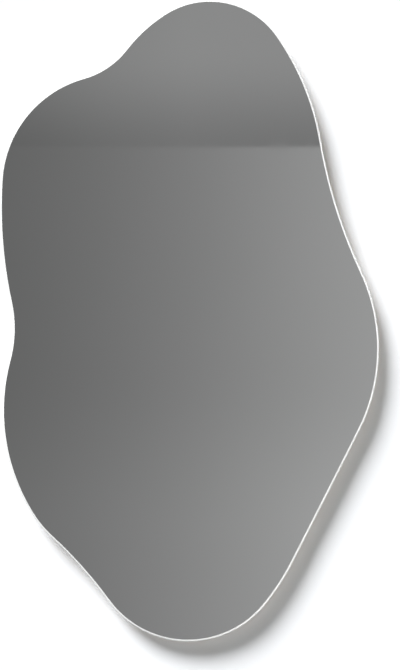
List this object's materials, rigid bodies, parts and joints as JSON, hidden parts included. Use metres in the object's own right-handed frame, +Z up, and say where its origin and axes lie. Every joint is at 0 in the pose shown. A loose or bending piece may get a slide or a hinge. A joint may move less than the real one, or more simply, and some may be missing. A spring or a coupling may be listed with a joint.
{
  "type": "irregular wall mirror",
  "caption": "Frameless wall mirror with a free pebble-like outline, polished glass edge, backing board, ring hangers and wall hooks.",
  "frame": {"origin": "on the wall plane, at the middle of the four screw holes of the two wall hooks", "axes": "+X to the right as the mirror is looked at, +Z up, +Y into the wall; the reflecting side faces -Y"},
  "size_m": [0.5018, 0.0262, 0.8499],
  "materials": {
    "silvered_glass": "silvered float glass, polished edge",
    "film": "matt grey safety film",
    "foam_tape": "white foam tape",
    "fibreboard": "raw medium-density fibreboard",
    "zinc_steel": "zinc-plated steel",
    "ring_wire": "nickel-plated steel wire",
    "screw_steel": "zinc-plated steel",
    "hook_steel": "zinc-plated steel",
    "rubber": "black rubber"
  },
  "bodies": {
    "wall_hooks": {"left_wall_hook": "hook_steel", "right_wall_hook": "hook_steel"},
    "mirror": {"mirror_pane": "silvered_glass", "safety_film": "film", "tape_strip_1": "foam_tape", "tape_strip_2": "foam_tape", "tape_strip_3": "foam_tape", "tape_strip_4": "foam_tape", "tape_strip_5": "foam_tape", "tape_strip_6": "foam_tape", "backing_board": "fibreboard", "upper_left_strap": "zinc_steel", "upper_right_strap": "zinc_steel", "side_upper_strap": "zinc_steel", "side_lower_strap": "zinc_steel", "upper_left_strap_screws": "screw_steel", "upper_right_strap_screws": "screw_steel", "side_upper_strap_screws": "screw_steel", "side_lower_strap_screws": "screw_steel", "upper_left_ring": "ring_wire", "upper_right_ring": "ring_wire", "upper_left_bumper": "rubber", "upper_right_bumper": "rubber", "lower_left_bumper": "rubber", "lower_right_bumper": "rubber", "bumper_screws": "screw_steel"},
    "side_upper_ring_body": {"side_upper_ring": "ring_wire"},
    "side_lower_ring_body": {"side_lower_ring": "ring_wire"}
  },
  "joints": [
    {"name": "lift_off", "type": "slide", "parent": "wall_hooks", "child": "mirror", "axis": [0, -0.5, 0.866], "range_m": [0, 0.1]},
    {"name": "side_upper_ring_swing", "type": "hinge", "parent": "mirror", "child": "side_upper_ring_body", "pos_m": [0.168, -0.0082, -0.18345], "axis": [0, 0, 1], "range_deg": [0, 170]},
    {"name": "side_lower_ring_swing", "type": "hinge", "parent": "mirror", "child": "side_lower_ring_body", "pos_m": [0.168, -0.0082, -0.42345], "axis": [0, 0, 1], "range_deg": [0, 170]}
  ]
}
